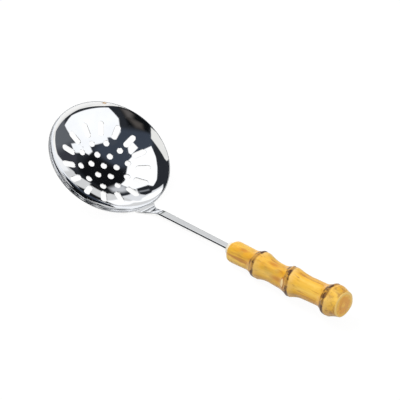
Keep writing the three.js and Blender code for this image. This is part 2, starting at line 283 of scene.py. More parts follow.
def punch_rings(radius, turn, half_length, width):
    """Rings of a punch that follows the wall: wider at both faces of the sheet, for the softened edges."""
    centre, normal = wall_point(wall_parameter(radius))
    tangent = np.array((normal[1], -normal[0]))
    spots = []
    for depth, grow in PUNCH_LEVELS:
        for along, across in stadium(half_length, width / 2 + grow):
            base, out = centre + tangent * along, normal
            if half_length > 0:
                base, out = wall_point(wall_parameter(radius + along * tangent[0]))
            r, z = base - out * depth
            spots.append((r, across, z))
    spots = np.array(spots)
    x = spots[:, 0] * math.cos(turn) - spots[:, 1] * math.sin(turn)
    y = spots[:, 0] * math.sin(turn) + spots[:, 1] * math.cos(turn)
    return np.column_stack((x, y, spots[:, 2]))


def perforations():
    """Radius, turn, half length and width of each hole and slot."""
    start = math.radians(PATTERN_TURN)
    places = [(0.0, 0.0, 0, HOLE_DIAMETER)]
    for radius, count in ((INNER_RING_RADIUS, INNER_RING_COUNT), (OUTER_RING_RADIUS, OUTER_RING_COUNT)):
        places += [(radius, start + 2 * math.pi * i / count, 0, HOLE_DIAMETER) for i in range(count)]
    middle = (SLOT_INNER_RADIUS + SLOT_OUTER_RADIUS) / 2
    steepness = wall_point(wall_parameter(middle))[1][1]
    half_length = (SLOT_OUTER_RADIUS - SLOT_INNER_RADIUS - SLOT_WIDTH) / 2 / steepness
    for i in range(SLOT_COUNT):
        places.append((middle, start + 2 * math.pi * (i + 0.5) / SLOT_COUNT, half_length, SLOT_WIDTH))
    return places


def punches():
    """All the perforations as one mesh of separate punches."""
    vertices = []
    faces = []
    count = 0
    for place in perforations():
        points = punch_rings(*place)
        sides = len(points) // len(PUNCH_LEVELS)
        for face in tube_faces(len(PUNCH_LEVELS), sides):
            faces.append(tuple(count + corner for corner in reversed(face)))
        vertices.append(points)
        count += len(points)
    return new_object("punches", np.vstack(vertices), faces)


def nearest_normals(points):
    """The true normal of the turned section nearest to each point."""
    profile, normals = bowl_profile(NORMAL_SAMPLES)
    radius = np.hypot(points[:, 0], points[:, 1])
    section = np.column_stack((radius, points[:, 2]))
    found = np.empty(len(points), int)
    for start in range(0, len(points), NORMAL_BATCH):
        batch = slice(start, start + NORMAL_BATCH)
        gaps = section[batch, None, :] - profile[None, :, :]
        found[batch] = np.argmin((gaps ** 2).sum(axis=2), axis=1)
    radial, axial = normals[found].T
    outward = points[:, :2] / np.maximum(radius, NO_RADIUS)[:, None]
    return np.column_stack((radial[:, None] * outward, axial))


def polished_normals(mesh):
    """A normal for each corner of each face, true to the curve so that the mirror finish shows no facets."""
    points = np.empty(len(mesh.vertices) * 3)
    mesh.vertices.foreach_get("co", points)
    true = nearest_normals(points.reshape(-1, 3) / MM)
    corners = np.empty((len(mesh.loops), 3))
    for polygon in mesh.polygons:
        curved = true[list(polygon.vertices)]
        flat = np.array(polygon.normal)
        is_sheet = float(curved.mean(axis=0) @ flat) > SHEET_FACING
        corners[list(polygon.loop_indices)] = curved if is_sheet else flat
    return corners


def make_bowl(material):
    vertices, faces = lathe(bowl_profile()[0])
    bowl = new_object("polished_bowl", vertices, faces)
    cut(bowl, punches())
    bowl.data.shade_smooth()
    normals = polished_normals(bowl.data)
    lift = Matrix.Translation((0, 0, RIM_HEIGHT * MM))
    place = spoon_matrix() @ lift @ Matrix.Rotation(TILT, 4, "Y")
    bowl.data.transform(place)
    turned = normals @ np.array(place.to_3x3()).T
    bowl.data.normals_split_custom_set(turned.tolist())
    finish_piece(bowl, "perforated_bowl", material)


# Shank

NECK_STATIONS = 48
BAR_STATIONS = 12
CORNER_POINTS = 9
WELD_LAP = 0.15

RIM_EDGE = np.array((RIM_RADIUS * math.cos(TILT), RIM_EDGE_HEIGHT))
BAR_START = RIM_EDGE + (NECK_LENGTH, NECK_RISE)
BAR_ALONG = np.array((math.cos(SLOPE), math.sin(SLOPE)))
BAR_UP = np.array((-math.sin(SLOPE), math.cos(SLOPE)))


def neck_point(t):
    """Middle of the neck's top face at t from 0, at the rim, to 1, at the bar; and its direction."""
    p0, p3 = RIM_EDGE, BAR_START
    p1, p2 = p0 + (NECK_EASE, 0), p3 - BAR_ALONG * NECK_EASE
    point = (1 - t) ** 3 * p0 + 3 * t * (1 - t) ** 2 * p1 + 3 * t * t * (1 - t) * p2 + t ** 3 * p3
    along = (1 - t) ** 2 * (p1 - p0) + 2 * t * (1 - t) * (p2 - p1) + t * t * (p3 - p2)
    return point, along / np.hypot(*along)


def bar_ring(point, along, width, thickness):
    """A rounded rectangle square to the path, with the path in the middle of its top side."""
    rounding = min(EDGE_ROUND, thickness * EDGE_ROUND_LIMIT)
    ring = []
    for corner, (side, top) in enumerate(((1, 1), (-1, 1), (-1, -1), (1, -1))):
        for angle in np.linspace(corner, corner + 1, CORNER_POINTS) * math.pi / 2:
            across = side * (width / 2 - rounding) + rounding * math.cos(angle)
            up = top * (thickness / 2 - rounding) + rounding * math.sin(angle) - thickness / 2
            ring.append((point[0] - up * along[1], across, point[1] + up * along[0]))
    return np.array(ring)


def rim_follow(ring, share):
    """Bends a ring of the neck round the rim's circle, by a share from 0 to 1."""
    sag = RIM_RADIUS - np.sqrt(RIM_RADIUS ** 2 - ring[:, 1] ** 2)
    bent = ring.copy()
    bent[:, 0] -= share * (sag * math.cos(TILT) + WELD_LAP)
    bent[:, 2] += share * sag * math.sin(TILT)
    return bent


def neck_rings():
    rings = []
    for t in np.linspace(0, 1, NECK_STATIONS):
        width = BAR_WIDTH_AT_NECK + (NECK_WIDTH - BAR_WIDTH_AT_NECK) * (1 - t) ** NECK_SPREAD
        thickness = NECK_THICKNESS + (BAR_THICKNESS - NECK_THICKNESS) * t
        rings.append(rim_follow(bar_ring(*neck_point(t), width, thickness), (1 - t) ** 2))
    return rings


SHOULDER = BAR_LENGTH - FILLER_BEAD - GLUE_GAP  # where the bar steps down to the tang


def shank_rings():
    rings = neck_rings()
    for s in np.linspace(0, 1, BAR_STATIONS)[1:]:
        point = BAR_START + BAR_ALONG * s * SHOULDER
        width = BAR_WIDTH_AT_NECK + (BAR_WIDTH_AT_HANDLE - BAR_WIDTH_AT_NECK) * s
        rings.append(bar_ring(point, BAR_ALONG, width, BAR_THICKNESS))
    drop = (BAR_THICKNESS - TANG_THICKNESS) / 2
    for distance in (SHOULDER, BAR_LENGTH + TANG_LENGTH):
        point = BAR_START + BAR_ALONG * distance - BAR_UP * drop
        rings.append(bar_ring(point, BAR_ALONG, TANG_WIDTH, TANG_THICKNESS))
    return rings


def ring_normals(rings):
    """Smooth normals of the shank: the rounded edges turn, the flat faces stay flat."""
    corners = np.concatenate([np.linspace(c, c + 1, CORNER_POINTS) for c in range(4)]) * math.pi / 2
    stacked = np.array(rings)
    along = np.gradient(stacked, axis=0)
    along /= np.linalg.norm(along, axis=2, keepdims=True)
    path = np.gradient(stacked.mean(axis=1), axis=0)
    path /= np.linalg.norm(path, axis=1, keepdims=True)
    across = np.array((0.0, 1.0, 0.0))
    up = np.cross(path, across)
    normals = np.cos(corners)[None, :, None] * across + np.sin(corners)[None, :, None] * up[:, None, :]
    normals -= (normals * along).sum(axis=2, keepdims=True) * along
    return (normals / np.linalg.norm(normals, axis=2, keepdims=True)).reshape(-1, 3)


def make_shank(material):
    rings = shank_rings()
    shank = new_object("polished_shank", np.vstack(rings), tube_faces(len(rings), len(rings[0])))
    shank.data.normals_split_custom_set_from_vertices(ring_normals(rings).tolist())
    shank.data.transform(spoon_matrix())
    finish_piece(shank, "shank", material)


# Bamboo, in a frame with X along the handle from its front face

HANDLE_SIDES = 128
HANDLE_STATIONS = 420
FRONT_POINTS = 9
BUTT_POINTS = 5
BORE_SIDES = 48
SCAR_GROOVE = 0.3
GROOVE_HALF_WIDTH = 0.4
FACETS = ((3, 0.012, 0.7), (5, 0.014, 2.1), (8, 0.008, 4.0))  # waves round the bamboo, their depth and start
FACET_DRIFT = 13.0  # how far along the bamboo the facets take to wander
FACET_WANDER = 0.6  # and how far round it, in radians of a wave
SHARP_ANGLE = 40.0


class Spot(NamedTuple):
    """A spot on the bamboo: place along it, angle round it, half length and half width."""
    place: float
    angle: float
    half_length: float
    half_width: float


# The second node's dry bud
BUD = Spot(place=NODES[1].scar - 2.6, angle=165.0, half_length=1.3, half_width=3.0)
BUD_HEIGHT = 0.7
STREAKS = (
    Spot(place=37.0, angle=105.0, half_length=6.5, half_width=1.7),
    Spot(place=42.8, angle=162.0, half_length=6.5, half_width=2.2),
    Spot(place=13.0, angle=112.0, half_length=5.0, half_width=1.5),
)

BUTT_EDGE = HANDLE_LENGTH - BUTT_ROUND
RING_ANGLES = np.linspace(0, 2 * math.pi, HANDLE_SIDES, endpoint=False)


def smooth_step(value, low, high):
    share = np.clip((value - low) / (high - low), 0, 1)
    return share * share * (3 - 2 * share)


def blend(first, second, share):
    return first + (second - first) * share


def to_side(length, side):
    """A length towards an angle round the bamboo, as its parts along Y and Z."""
    angle = math.radians(side)
    return length * np.array((math.cos(angle), math.sin(angle)))


def node_swell(distance, crown, flank):
    """How far a node swells, from 0 to 1: a smooth rise, then a crown and a hollow flank of given lengths."""
    before = smooth_step(distance, -NODE_FRONT, 0)
    past = distance - crown
    fall = (past + np.hypot(past, NODE_CORNER)) / 2
    start = (np.hypot(crown, NODE_CORNER) - crown) / 2
    after = np.clip(1 - (fall - start) / (flank - crown), 0, 1) ** NODE_HOLLOW
    return np.where(distance < 0, before, after)


def scar_height(distance):
    """The leaf scar of a node: a ridge with a groove on each side."""
    ridge = SCAR_HEIGHT * np.exp(-(distance / SCAR_HALF_WIDTH) ** 2)
    for side in (-1, 1):
        ridge = ridge - SCAR_GROOVE * np.exp(-((distance - side * SCAR_HALF_WIDTH) / GROOVE_HALF_WIDTH) ** 2)
    return ridge


def waist_radius(x):
    """Radius of the bamboo without its nodes."""
    radius = blend(FRONT_RADIUS, NODES[0].waist, smooth_step(x, FRONT_ROUND, FRONT_TAPER_END))
    for node, after in zip(NODES, [node.waist for node in NODES[1:]] + [BUTT_RADIUS]):
        radius = blend(radius, after, smooth_step(x, node.scar, node.scar + SCAR_LEAD))
    return radius


def bamboo_radius(x, angles):
    waist = waist_radius(x)
    skew = np.cos(angles - math.radians(NODE_SKEW_SIDE))
    crown = NODE_CROWN + CROWN_SKEW * skew
    flank = NODE_BACK + FLANK_SKEW * skew
    most = waist
    for node in NODES:
        swell = (node.radius - waist) * node_swell(x - node.scar - SCAR_LEAD, crown, flank)
        most = np.maximum(most, waist + swell + scar_height(x - node.scar))
    return most


def slant_spans():
    """For each node: where its slant starts, is full and ends along the bamboo, and its two tangents."""
    places = [0.0] + [node.scar for node in NODES] + [BUTT_EDGE]
    leans = [to_side(math.tan(math.radians(node.slant)), node.side) for node in NODES]
    return list(zip(places, places[1:], places[2:], leans))


def ring_slant(x):
    total = np.zeros(2)
    for start, full, end, lean in slant_spans():
        total += lean * (smooth_step(x, start, full) - smooth_step(x, full, end))
    return total


def bow_at(x):
    """How far the bamboo bends off its axis."""
    return to_side(BOW * math.exp(-((x - BOW_PLACE) / BOW_SPREAD) ** 2), BOW_SIDE)


def on_ring(x, angles, reach):
    """Points of a slanted ring, at a reach from the bamboo's bent axis."""
    across, up = reach * np.cos(angles), reach * np.sin(angles)
    slant, bow = ring_slant(x), bow_at(x)
    return np.column_stack((x + slant[0] * across + slant[1] * up, across + bow[0], up + bow[1]))


def bud_height(x, angles):
    """The bud's swelling on one ring of the bamboo."""
    turn = np.angle(np.exp(1j * (angles - math.radians(BUD.angle))))
    across = turn * NODES[1].waist / BUD.half_width
    along = (x - BUD.place) / BUD.half_length
    return BUD_HEIGHT * np.exp(-across ** 2 - along ** 2)


def bamboo_ring(x, radii):
    """One ring of the bamboo: a rounded irregular section, slanted as the nodes are."""
    reach = 1 + OVALNESS * np.cos(2 * RING_ANGLES + 2 * math.pi * x / HANDLE_LENGTH)
    for count, depth, start in FACETS:
        wander = FACET_WANDER * math.sin(x / FACET_DRIFT + start)
        reach += depth * np.cos(count * RING_ANGLES + start + wander)
    return on_ring(x, RING_ANGLES, radii * reach + bud_height(x, RING_ANGLES))


def bamboo_rings():
    """The rings from the rounded front to the cut butt."""
    rings = []
    full = bamboo_radius(FRONT_ROUND, RING_ANGLES)
    for turn in np.linspace(0, math.pi / 2, FRONT_POINTS):
        radii = blend(FRONT_FACE_RADIUS, full, math.sin(turn))
        rings.append(bamboo_ring(FRONT_ROUND * (1 - math.cos(turn)), radii))
    for x in np.linspace(FRONT_ROUND, BUTT_EDGE, HANDLE_STATIONS)[1:]:
        rings.append(bamboo_ring(x, bamboo_radius(x, RING_ANGLES)))
    last = bamboo_radius(BUTT_EDGE, RING_ANGLES)
    for turn in np.linspace(0, math.pi / 2, BUTT_POINTS)[1:]:
        radii = last - BUTT_ROUND * (1 - math.cos(turn))
        rings.append(bamboo_ring(BUTT_EDGE + BUTT_ROUND * math.sin(turn), radii))
    return rings


def bar_matrix():
    """Frame at the mouth of the handle, in the middle of the bar, with X along the tang."""
    mouth = BAR_START + BAR_ALONG * BAR_LENGTH - BAR_UP * BAR_THICKNESS / 2
    place = Matrix.Translation((mouth[0] * MM, 0, mouth[1] * MM))
    return spoon_matrix() @ place @ Matrix.Rotation(-SLOPE, 4, "Y")


def handle_matrix():
    lift = Matrix.Rotation(-math.radians(HANDLE_LIFT), 4, "Y")
    return bar_matrix() @ lift @ Matrix.Translation((0, 0, -TANG_ABOVE_AXIS * MM))


def bore_rod():
    """A round cutter along the tang, in the handle's own frame."""
    angles = np.linspace(0, 2 * math.pi, BORE_SIDES, endpoint=False)
    rings = []
    for depth in (-FRONT_ROUND, TANG_LENGTH + BORE_SPARE_DEPTH):
        ring = (np.full(BORE_SIDES, depth), BORE_RADIUS * np.cos(angles), BORE_RADIUS * np.sin(angles))
        rings.append(np.column_stack(ring))
    rod = new_object("bore", np.vstack(rings), tube_faces(len(rings), BORE_SIDES))
    rod.data.transform(handle_matrix().inverted() @ bar_matrix())
    return rod


def make_handle(material):
    rings = bamboo_rings()
    handle = new_object("bamboo_root", np.vstack(rings), tube_faces(len(rings), HANDLE_SIDES))
    cut(handle, bore_rod())
    handle.data.transform(handle_matrix())
    handle.data.set_sharp_from_angle(angle=math.radians(SHARP_ANGLE))
    finish_piece(handle, "bamboo_handle", material)


# Materials

class Noise(NamedTuple):
    """A noise pattern. Its scale is one number, or one along each axis."""
    scale: float | tuple
    detail: float = 3.0
    roughness: float = 0.5
    distortion: float = 0.0


class Fade(NamedTuple):
    """A smooth change: the values where it starts and ends, and what it gives there."""
    start: float
    end: float
    at_start: float = 0.0
    at_end: float = 1.0


class Bump(NamedTuple):
    strength: float
    distance: float


# Colour sockets of a Mix node
MIX_FIRST = 6
MIX_SECOND = 7
MIX_RESULT = 2


def srgb(red, green, blue):
    """A linear colour from sRGB values of 0 to 255."""
    def linear(value):
        v = value / 255
        return v / 12.92 if v <= 0.04045 else ((v + 0.055) / 1.055) ** 2.4
    return (linear(red), linear(green), linear(blue), 1.0)


class Nodes:
    """Short calls for building a node tree."""

    def __init__(self, tree):
        self.tree = tree
        tree.nodes.clear()

    def add(self, kind, **settings):
        node = self.tree.nodes.new(kind)
        for key, value in settings.items():
            setattr(node, key, value)
        return node

    def join(self, source, target):
        self.tree.links.new(source, target)

    def feed(self, socket, value):
        if isinstance(value, bpy.types.NodeSocket):
            self.join(value, socket)
        else:
            socket.default_value = value

    def math(self, operation, a, b=0.0):
        node = self.add("ShaderNodeMath", operation=operation)
        self.feed(node.inputs[0], a)
        self.feed(node.inputs[1], b)
        return node.outputs[0]

    def place(self):
        """Coordinates in the shared frame, in metres."""
        return self.add("ShaderNodeTexCoord").outputs["Object"]

    def place_in(self, matrix):
        """Coordinates in a piece's own frame, in metres."""
        node = self.add("ShaderNodeMapping", vector_type="TEXTURE")
        self.join(self.place(), node.inputs["Vector"])
        node.inputs["Location"].default_value = matrix.to_translation()
        node.inputs["Rotation"].default_value = matrix.to_euler()
        return node.outputs["Vector"]

    def scaled(self, vector, scale):
        node = self.add("ShaderNodeMapping")
        self.feed(node.inputs["Vector"], vector)
        node.inputs["Scale"].default_value = scale
        return node.outputs["Vector"]

    def axes(self, vector):
        """The three parts of a place in metres, in millimetres."""
        split = self.add("ShaderNodeSeparateXYZ")
        self.join(vector, split.inputs[0])
        return [self.math("MULTIPLY", axis, 1 / MM) for axis in split.outputs]

    def noise(self, vector, pattern):
        scale = pattern.scale
        if isinstance(scale, tuple):
            vector = self.scaled(vector, scale)
            scale = 1.0
        node = self.add("ShaderNodeTexNoise")
        self.feed(node.inputs["Vector"], vector)
        node.inputs["Scale"].default_value = scale
        node.inputs["Detail"].default_value = pattern.detail
        node.inputs["Roughness"].default_value = pattern.roughness
        node.inputs["Distortion"].default_value = pattern.distortion
        return node.outputs["Fac"]

    def sway(self, vector, pattern, reach):
        """A noise about 0, with a given reach in millimetres."""
        return self.math("MULTIPLY", self.math("SUBTRACT", self.noise(vector, pattern), 0.5), reach)

    def ramp(self, value, stops):
        node = self.add("ShaderNodeValToRGB")
        elements = node.color_ramp.elements
        while len(elements) > 1:
            elements.remove(elements[-1])
        elements[0].position, elements[0].color = stops[0]
        for position, colour in stops[1:]:
            elements.new(position).color = colour
        self.feed(node.inputs["Fac"], value)
        return node.outputs["Color"]

    def fade(self, value, fade):
        node = self.add("ShaderNodeMapRange", interpolation_type="SMOOTHSTEP")
        for socket, number in zip(node.inputs, (value, *fade)):
            self.feed(socket, number)
        return node.outputs[0]

    def mix(self, share, first, second):
        node = self.add("ShaderNodeMix", data_type="RGBA")
        self.feed(node.inputs[0], share)
        self.feed(node.inputs[MIX_FIRST], first)
        self.feed(node.inputs[MIX_SECOND], second)
        return node.outputs[MIX_RESULT]

    def mix_shaders(self, share, first, second):
        node = self.add("ShaderNodeMixShader")
        for socket, source in zip(node.inputs, (share, first, second)):
            self.join(source, socket)
        return node.outputs[0]

    def bump(self, height, bump):
        node = self.add("ShaderNodeBump")
        self.feed(node.inputs["Height"], height)
        node.inputs["Strength"].default_value = bump.strength
        node.inputs["Distance"].default_value = bump.distance
        return node.outputs["Normal"]


def new_material(name):
    material = bpy.data.materials.new(name)
    material.use_nodes = True
    nodes = Nodes(material.node_tree)
    shader = nodes.add("ShaderNodeBsdfPrincipled")
    output = nodes.add("ShaderNodeOutputMaterial")
    nodes.join(shader.outputs[0], output.inputs[0])
    return material, nodes, shader


# Steel

STEEL_TINTS = ((0.3, srgb(232, 234, 237)), (0.7, srgb(242, 243, 245)))
STEEL_CLOUD = Noise(60.0, detail=4.0)
STEEL_HAIRLINES = Noise((400.0, 9000.0, 400.0), detail=2.0)
STEEL_ROUGHNESS = Fade(0.3, 0.75, 0.02, 0.05)
HAIRLINE_BUMP = Bump(strength=0.02, distance=0.00001)


def steel_material():
    material, nodes, shader = new_material("polished_steel")
    place = nodes.place()
    cloud = nodes.noise(place, STEEL_CLOUD)
    hairlines = nodes.noise(place, STEEL_HAIRLINES)
    shader.inputs["Metallic"].default_value = 1.0
    nodes.join(nodes.ramp(cloud, STEEL_TINTS), shader.inputs["Base Color"])
    nodes.join(nodes.fade(cloud, STEEL_ROUGHNESS), shader.inputs["Roughness"])
    nodes.join(nodes.bump(hairlines, HAIRLINE_BUMP), shader.inputs["Normal"])
    return material


# Bamboo's colours, patterns and how strongly each shows

GOLD = srgb(238, 181, 46)
DEEP_GOLD = srgb(226, 157, 30)
PALE_GOLD = srgb(250, 203, 88)
STREAK_BROWN = srgb(184, 112, 36)
STREAK_ORANGE = srgb(204, 130, 22)
OLIVE = srgb(196, 158, 76)
# Painted highlight colour for the rounded shoulders past the nodes
HIGHLIGHT_PEACH = srgb(247, 201, 112)
SCAR_BROWN = srgb(82, 48, 22)
SCAR_TAN = srgb(176, 122, 56)
MOTTLE_BROWN = srgb(172, 122, 58)
CUT_ORANGE = srgb(238, 164, 36)
CUT_LIGHT = srgb(252, 194, 62)
# Painted highlight colour for the rounded edge of the cut butt
CUT_EDGE_HIGHLIGHT = srgb(252, 210, 116)
BUD_CREAM = srgb(245, 214, 152)

SKIN_GOLDS = ((0.3, DEEP_GOLD), (0.48, GOLD), (0.66, PALE_GOLD))
WIDE_STREAKS = Noise((10.0, 110.0, 110.0), roughness=0.55, distortion=0.5)
NARROW_STREAKS = Noise((36.0, 400.0, 400.0), roughness=0.55, distortion=0.4)
HAIR_STREAKS = Noise((60.0, 1300.0, 1300.0), roughness=0.6)
BLOTCHES = Noise((70.0, 120.0, 120.0))
OLIVE_SHOWS = Fade(0.52, 0.7, at_end=0.6)
PALE_SHOWS = Fade(0.47, 0.3, at_end=0.5)
HAIR_SHOWS = Fade(0.52, 0.75, at_end=0.35)
BROWN_SHOWS = Fade(0.54, 0.68, at_end=0.8)
BUTT_CALM = Fade(NODES[-1].scar, NODES[-1].scar + SCAR_LEAD, 1.0, 0.35)  # fewer streaks past the last node

# Marks along the bamboo at each leaf scar: distance from the scar, and strength
SCAR_BAND = ((-2.7, 0.0), (-1.9, 0.8), (1.8, 1.0), (2.6, 0.0))
SCAR_LINES = ((-2.2, 0.0), (-1.6, 0.7), (-1.0, 0.0), (0.7, 0.0), (1.3, 1.0), (2.0, 0.0))
AHEAD_MARKS = ((-9.0, 0.0), (-2.0, 0.8), (-1.0, 0.0))
# Painted highlight on the rounded shoulder past each scar: distance from the scar, and strength
SHOULDER_HIGHLIGHT_MARKS = ((1.6, 0.0), (2.6, 0.8), (4.5, 0.4), (7.0, 0.0))
MARK_SWAY = Noise(180.0, detail=4.0)
MARK_SWAY_REACH = 3.4
MARK_PATCHES = Noise(150.0)
MARKS_SHOW = Fade(0.4, 0.58, at_start=0.2)
BAND_TAN = 0.7

EDGE_SHADE_SIDE = 52.0  # angle round the bamboo of one of the two sides, seen edge on, where painted shade makes the scars darkest
EDGE_SHADE_LESS = 0.1  # how much less painted shade the scars get between those sides
STAIN_PATCHES = Noise(150.0, detail=4.0, roughness=0.6)
SCAR_STAIN_AND_SHADE_SHOWS = Fade(0.39, 0.47)
BUTT_STAIN_START = NODES[-1].scar + SCAR_LEAD
BUTT_STAIN_RISE = Fade(BUTT_STAIN_START, BUTT_STAIN_START + 1.5)
BUTT_PATCHES = Noise(260.0, detail=4.0, roughness=0.6)
BUTT_STAIN_SHOWS = Fade(0.45, 0.65, at_end=0.75)

STREAK_NEAR = Fade(1.2, 0.2, at_end=0.9)
BUD_OUTLINE = Fade(1.5, 1.1, at_end=0.8)
BUD_FACE = Fade(1.05, 0.75)

CUT_START = HANDLE_LENGTH - BUTT_ROUND * 0.8
CUT_GRAIN = ((0.0, CUT_LIGHT), (0.3, CUT_ORANGE), (0.6, CUT_ORANGE), (0.85, CUT_LIGHT))
CUT_SWAY = Noise(300.0)
CUT_SWAY_REACH = 6.0
CUT_PORES = Noise(900.0, roughness=0.65)
PORES_SHOW = Fade(0.52, 0.72, at_end=0.4)
CUT_EDGE_HIGHLIGHT_SHOWS = Fade(0.94, 0.99)

FIBRES = Noise((40.0, 1100.0, 1100.0), detail=4.0, roughness=0.6)
FIBRE_ROUGHNESS = Fade(0.3, 0.8, 0.3, 0.5)
FIBRE_BUMP = Bump(strength=0.25, distance=0.0002)
LACQUER = 0.25
LACQUER_ROUGHNESS = 0.2


def grey(value):
    return (value, value, value, 1.0)


def scar_marks(nodes, along, marks):
    """The strength of the same marks at each scar, from a place along the bamboo."""
    stops = [(0.0, grey(0.0))]
    for node in NODES:
        for offset, value in marks:
            stops.append(((node.scar + offset) / HANDLE_LENGTH, grey(value)))
    return nodes.ramp(nodes.math("DIVIDE", along, HANDLE_LENGTH), stops)


def bamboo_skin(nodes, place):
    """The bamboo's streaked skin, without its nodes."""
    narrow = nodes.noise(place, NARROW_STREAKS)
    hair = nodes.noise(place, HAIR_STREAKS)
    colour = nodes.ramp(nodes.noise(place, WIDE_STREAKS), SKIN_GOLDS)
    colour = nodes.mix(nodes.fade(nodes.noise(place, BLOTCHES), OLIVE_SHOWS), colour, OLIVE)
    colour = nodes.mix(nodes.fade(narrow, PALE_SHOWS), colour, PALE_GOLD)
    colour = nodes.mix(nodes.fade(hair, HAIR_SHOWS), colour, STREAK_BROWN)
    calm = nodes.fade(nodes.axes(place)[0], BUTT_CALM)
    brown = nodes.math("MULTIPLY", nodes.fade(narrow, BROWN_SHOWS), calm)
    return nodes.mix(brown, colour, STREAK_BROWN)


def along_bamboo(nodes, place):
    """Distance along the bamboo in millimetres, measured on its slanted rings."""
    x, y, z = nodes.axes(place)
    straight = x
    for start, full, end, (lean_y, lean_z) in slant_spans():
        lean = nodes.math("ADD", nodes.math("MULTIPLY", y, lean_y), nodes.math("MULTIPLY", z, lean_z))
        rise = nodes.fade(x, Fade(start, full))
        fall = nodes.fade(x, Fade(full, end, 1.0, 0.0))
        share = nodes.math("MULTIPLY", rise, fall)
        straight = nodes.math("SUBTRACT", straight, nodes.math("MULTIPLY", share, lean))
    return straight


def spot_reach(nodes, place, spot):
    """How far a place is from the middle of a spot on the bamboo: 1 at the spot's edge."""
    angle = np.array([math.radians(spot.angle)])
    centre = on_ring(spot.place, angle, bamboo_radius(spot.place, angle))[0]
    offset = nodes.add("ShaderNodeVectorMath", operation="SUBTRACT")
    nodes.join(place, offset.inputs[0])
    offset.inputs[1].default_value = Vector(centre) * MM
    across = 1 / spot.half_width / MM
    size = nodes.scaled(offset.outputs[0], (1 / spot.half_length / MM, across, across))
    length = nodes.add("ShaderNodeVectorMath", operation="LENGTH")
    nodes.join(size, length.inputs[0])
    return length.outputs["Value"]


def squared_radius(nodes, y, z):
    return nodes.math("ADD", nodes.math("POWER", y, 2.0), nodes.math("POWER", z, 2.0))


def scar_stain_and_edge_shade(nodes, place):
    """Where the leaf scars are dark: stained in patches, with painted shade that is strongest at the two
    sides that the camera sees edge on.
    """
    _, y, z = nodes.axes(place)
    toward_y, toward_z = to_side(1.0, EDGE_SHADE_SIDE)
    across = nodes.math("ADD", nodes.math("MULTIPLY", y, -toward_z), nodes.math("MULTIPLY", z, toward_y))
    between = nodes.math("DIVIDE", nodes.math("POWER", across, 2.0), squared_radius(nodes, y, z))
    patches = nodes.noise(place, STAIN_PATCHES)
    fewer = nodes.math("SUBTRACT", patches, nodes.math("MULTIPLY", between, EDGE_SHADE_LESS))
    return nodes.fade(fewer, SCAR_STAIN_AND_SHADE_SHOWS)


def butt_stain(nodes, place, along):
    """Where the bamboo is stained between the last leaf scar and the cut end."""
    patches = nodes.fade(nodes.noise(place, BUTT_PATCHES), BUTT_STAIN_SHOWS)
    return nodes.math("MULTIPLY", nodes.fade(along, BUTT_STAIN_RISE), patches)


def cut_face(nodes, place):
    """The butt's end grain: orange-tan, lighter in the middle, with dark pores, and a painted highlight at
    the very edge.
    """
    _, y, z = nodes.axes(place)
    radial = nodes.math("SQRT", squared_radius(nodes, y, z))
    uneven = nodes.math("ADD", radial, nodes.sway(place, CUT_SWAY, CUT_SWAY_REACH))
    grain = nodes.ramp(nodes.math("DIVIDE", uneven, BUTT_RADIUS), CUT_GRAIN)
    grain = nodes.mix(nodes.fade(nodes.noise(place, CUT_PORES), PORES_SHOW), grain, STREAK_BROWN)
    # Painted highlight round the very edge of the cut face
    edge = nodes.fade(nodes.math("DIVIDE", radial, BUTT_RADIUS - BUTT_ROUND), CUT_EDGE_HIGHLIGHT_SHOWS)
    return nodes.mix(edge, grain, CUT_EDGE_HIGHLIGHT)


def colour_nodes(nodes, place, colour):
    """Adds the leaf scars, and what goes with them before and after, to the skin's colour, with a painted
    highlight on the shoulder after each scar and painted shade where the scars are seen edge on.
    """
    along = nodes.math("ADD", along_bamboo(nodes, place), nodes.sway(place, MARK_SWAY, MARK_SWAY_REACH))
    patchy = nodes.fade(nodes.noise(place, MARK_PATCHES), MARKS_SHOW)
    ahead = nodes.math("MULTIPLY", scar_marks(nodes, along, AHEAD_MARKS), patchy)
    shoulder_highlight = nodes.math("MULTIPLY", scar_marks(nodes, along, SHOULDER_HIGHLIGHT_MARKS), patchy)
    lines = nodes.math("MULTIPLY", scar_marks(nodes, along, SCAR_LINES), patchy)
    band = scar_marks(nodes, along, SCAR_BAND)
    # The scar band darkens with stain patches and with painted shade at the edge-on sides
    scar = nodes.math("MAXIMUM", lines, nodes.math("MULTIPLY", band, scar_stain_and_edge_shade(nodes, place)))
    colour = nodes.mix(ahead, colour, DEEP_GOLD)
    # Painted highlight on the shoulder after each scar
    colour = nodes.mix(shoulder_highlight, colour, HIGHLIGHT_PEACH)
    colour = nodes.mix(butt_stain(nodes, place, along), colour, MOTTLE_BROWN)
    colour = nodes.mix(nodes.math("MULTIPLY", band, BAND_TAN), colour, SCAR_TAN)
    return nodes.mix(scar, colour, SCAR_BROWN)


def colour_spots(nodes, place, colour):
    """Adds the orange streaks and the bud."""
    for streak in STREAKS:
        near = nodes.fade(spot_reach(nodes, place, streak), STREAK_NEAR)
        colour = nodes.mix(near, colour, STREAK_ORANGE)
    bud = spot_reach(nodes, place, BUD)
    colour = nodes.mix(nodes.fade(bud, BUD_OUTLINE), colour, STREAK_BROWN)
    return nodes.mix(nodes.fade(bud, BUD_FACE), colour, BUD_CREAM)


